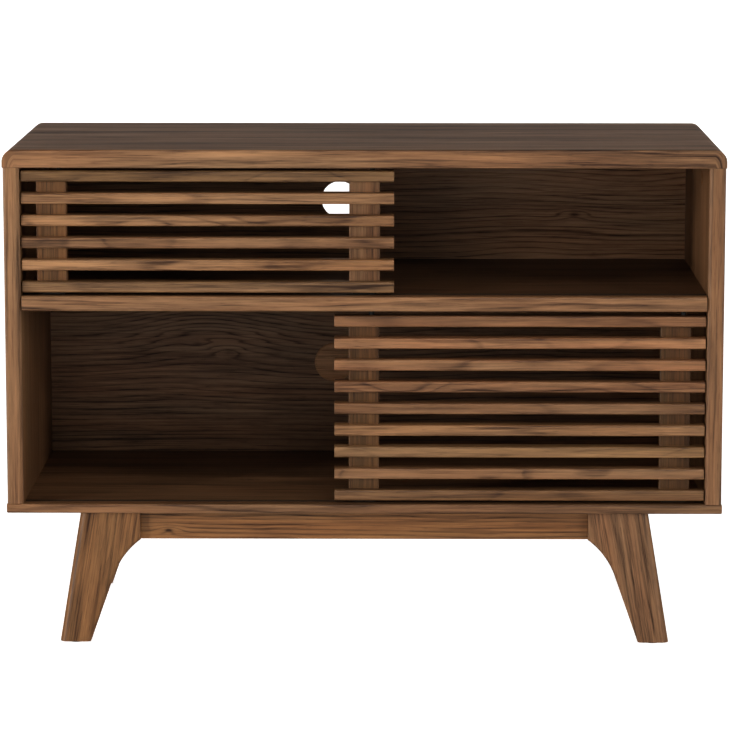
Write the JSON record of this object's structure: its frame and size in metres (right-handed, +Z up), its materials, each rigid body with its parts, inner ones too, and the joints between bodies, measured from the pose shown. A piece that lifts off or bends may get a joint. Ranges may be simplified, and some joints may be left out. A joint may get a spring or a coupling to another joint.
{
  "type": "media cabinet",
  "caption": "Low walnut media cabinet on splayed legs: open compartments above and below a shelf, each with a slatted sliding door.",
  "frame": {"origin": "on the floor under the middle of the case", "axes": "+X along the width, to the right of a person who faces the cabinet; -Y out of the open front; +Z up"},
  "size_m": [0.914, 0.394, 0.6375],
  "materials": {
    "walnut_top": "satin-lacquered dark walnut veneer, grain along the width",
    "walnut_case": "satin-lacquered walnut veneer with solid edges",
    "walnut_back": "dark walnut veneer on thin board",
    "walnut_base": "satin-lacquered solid walnut",
    "walnut_slats": "satin-lacquered golden walnut, mixed tones",
    "beech": "bare beech",
    "track_plastic": "dark brown extruded plastic",
    "nylon": "black nylon",
    "zinc": "zinc-plated steel"
  },
  "bodies": {
    "case": {"top_panel": "walnut_top", "left_side_panel": "walnut_case", "right_side_panel": "walnut_case", "bottom_panel": "walnut_case", "middle_shelf": "walnut_case", "shelf_front_edge": "walnut_case", "upper_back_panel": "walnut_back", "lower_back_panel": "walnut_back", "cable_hole_cover": "walnut_back", "front_left_leg": "walnut_base", "front_right_leg": "walnut_base", "rear_left_leg": "walnut_base", "rear_right_leg": "walnut_base", "front_apron": "walnut_base", "rear_apron": "walnut_base", "left_side_rail": "walnut_base", "right_side_rail": "walnut_base", "corner_blocks": "beech", "foot_glides": "nylon", "upper_bottom_track": "track_plastic", "upper_top_track": "track_plastic", "lower_bottom_track": "track_plastic", "lower_top_track": "track_plastic", "case_dowels": "beech", "base_dowels": "beech", "cam_bolts": "zinc", "cam_locks": "zinc", "cam_caps": "walnut_case", "base_panel_screws": "zinc", "corner_block_screws": "zinc"},
    "upper_door": {"upper_slat_1": "walnut_slats", "upper_slat_2": "walnut_slats", "upper_slat_3": "walnut_slats", "upper_slat_4": "walnut_slats", "upper_slat_5": "walnut_slats", "upper_slat_6": "walnut_slats", "upper_left_stile": "walnut_slats", "upper_right_stile": "walnut_slats", "upper_door_glides": "nylon", "upper_door_guide_pins": "nylon", "upper_door_screws": "zinc"},
    "lower_door": {"lower_slat_1": "walnut_slats", "lower_slat_2": "walnut_slats", "lower_slat_3": "walnut_slats", "lower_slat_4": "walnut_slats", "lower_slat_5": "walnut_slats", "lower_slat_6": "walnut_slats", "lower_slat_7": "walnut_slats", "lower_slat_8": "walnut_slats", "lower_slat_9": "walnut_slats", "lower_left_stile": "walnut_slats", "lower_right_stile": "walnut_slats", "lower_door_glides": "nylon", "lower_door_guide_pins": "nylon", "lower_door_screws": "zinc"}
  },
  "joints": [
    {"name": "upper_door_slide", "type": "slide", "parent": "case", "child": "upper_door", "axis": [1, 0, 0], "range_m": [0, 0.396]},
    {"name": "lower_door_slide", "type": "slide", "parent": "case", "child": "lower_door", "axis": [-1, 0, 0], "range_m": [0, 0.396]}
  ]
}
